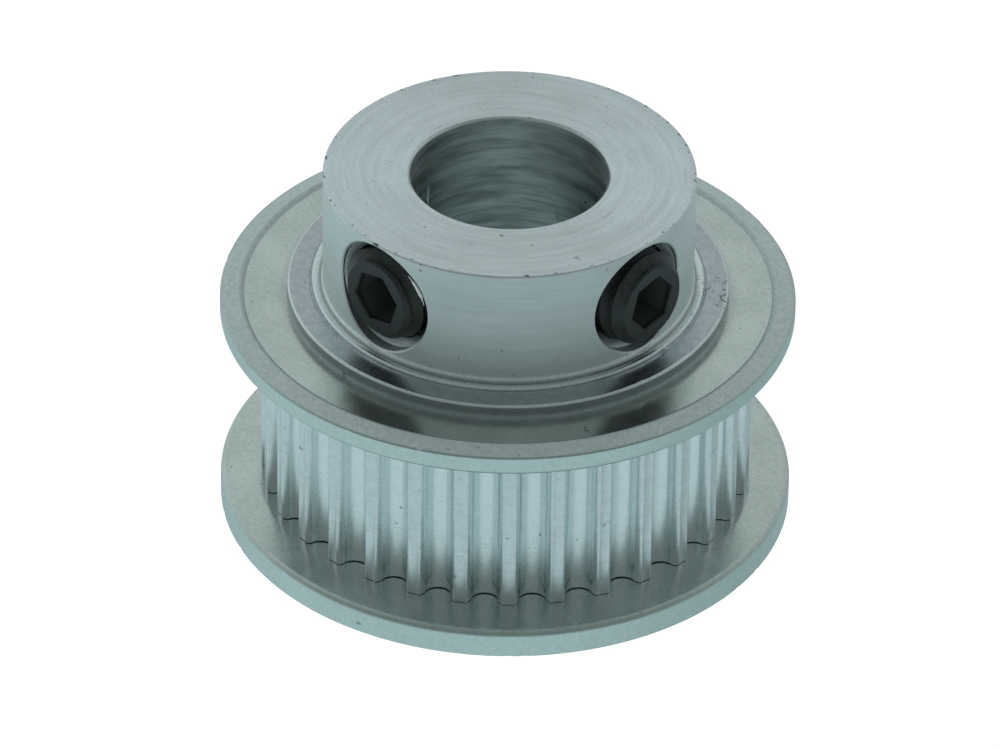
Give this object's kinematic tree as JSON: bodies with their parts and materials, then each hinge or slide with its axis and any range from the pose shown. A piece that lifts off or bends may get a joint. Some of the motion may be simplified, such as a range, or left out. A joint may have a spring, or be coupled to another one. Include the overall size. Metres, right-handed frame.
{
  "type": "timing belt pulley",
  "caption": "Toothed pulley for a 2 mm pitch timing belt, with two side flanges and a round hub clamped to a shaft by hexagon socket set screws.",
  "frame": {"origin": "on the bore axis, at the lower end face that the pulley stands on", "axes": "+Z along the bore axis from the toothed end to the hub end, -Y towards the socket of one set screw, +X towards the socket of the other"},
  "size_m": [0.0232, 0.0232, 0.016],
  "materials": {
    "turned_aluminium": "machine-turned bare aluminium, satin, with fine turning marks",
    "flange_aluminium": "pressed bare aluminium sheet, smooth and slightly dull",
    "black_oxide_steel": "black oxide on alloy steel, semi-matt"
  },
  "bodies": {
    "pulley": {"pulley_body": "turned_aluminium", "upper_flange": "flange_aluminium", "lower_flange": "flange_aluminium"},
    "front_screw": {"set_screw_front": "black_oxide_steel"},
    "side_screw": {"set_screw_side": "black_oxide_steel"}
  },
  "joints": [
    {"name": "front_screw_travel", "type": "slide", "parent": "pulley", "child": "front_screw", "axis": [0, -1, 0], "range_m": [-0.0011, 0.0021]},
    {"name": "side_screw_travel", "type": "slide", "parent": "pulley", "child": "side_screw", "axis": [1, 0, 0], "range_m": [-0.00145, 0.00175]}
  ]
}
